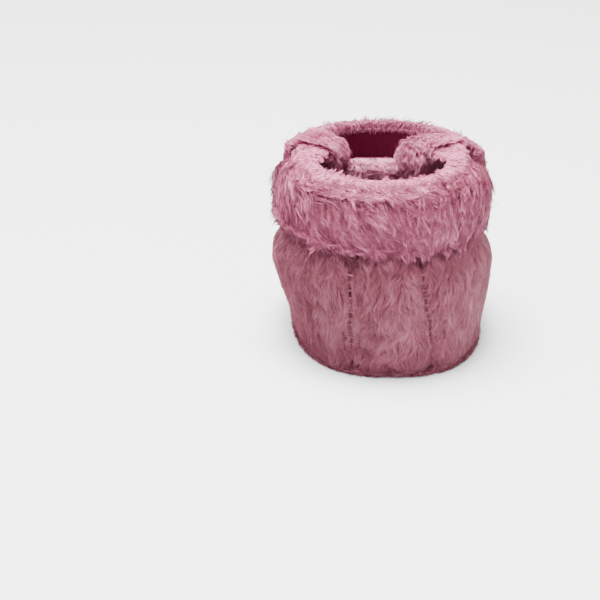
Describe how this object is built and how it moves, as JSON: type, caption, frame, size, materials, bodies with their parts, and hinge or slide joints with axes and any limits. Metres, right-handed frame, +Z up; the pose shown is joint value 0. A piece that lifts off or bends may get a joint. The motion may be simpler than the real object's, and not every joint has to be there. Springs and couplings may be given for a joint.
{
  "type": "baby bootie",
  "caption": "Soft plush slip-on bootie for a baby's right foot, with a fluffy turned-down cuff, a padded tongue and a front strap that swings open.",
  "frame": {"origin": "on the ground under the middle of the bootie's bounding box", "axes": "+Y from heel to toe, +X towards the outer side of a right foot, +Z up"},
  "size_m": [0.0892, 0.1215, 0.082],
  "materials": {
    "body_plush": "matte",
    "cuff_plush": "matte",
    "lining_plush": "matte",
    "sole_fabric": "matte",
    "wadding": "matte",
    "magenta_satin": "satin",
    "hook_tape": "satin",
    "loop_tape": "matte",
    "pink_thread": "satin",
    "pale_thread": "satin",
    "magenta_thread": "satin"
  },
  "bodies": {
    "bootie": {"outsole": "sole_fabric", "sole_padding": "wadding", "insole": "lining_plush", "heel_panel": "body_plush", "medial_quarter": "body_plush", "lateral_quarter": "body_plush", "toe_vamp": "body_plush", "ankle_lining": "lining_plush", "vamp_lining": "lining_plush", "cuff": "cuff_plush", "loop_patch": "loop_tape", "medial_heel_stitches": "pink_thread", "lateral_heel_stitches": "pink_thread", "vamp_stitches": "pink_thread", "sole_stitches": "pink_thread", "collar_stitches": "pink_thread"},
    "strap": {"front_strap": "cuff_plush", "strap_facing": "lining_plush", "satin_label": "magenta_satin", "hook_patch": "hook_tape", "strap_pull_tab": "cuff_plush", "strap_stitches": "pale_thread", "label_stitches": "magenta_thread"},
    "tongue": {"tongue_outer": "body_plush", "tongue_lining": "lining_plush", "tongue_stitches": "pink_thread"}
  },
  "joints": [
    {"name": "strap_open", "type": "hinge", "parent": "bootie", "child": "strap", "pos_m": [-0.03636, -0.00421, 0], "axis": [0, 0, 1], "range_deg": [0, 110]},
    {"name": "tongue_fold", "type": "hinge", "parent": "bootie", "child": "tongue", "pos_m": [-0.002, 0.013, 0.0503], "axis": [1, 0, 0], "range_deg": [-9, 4]}
  ]
}
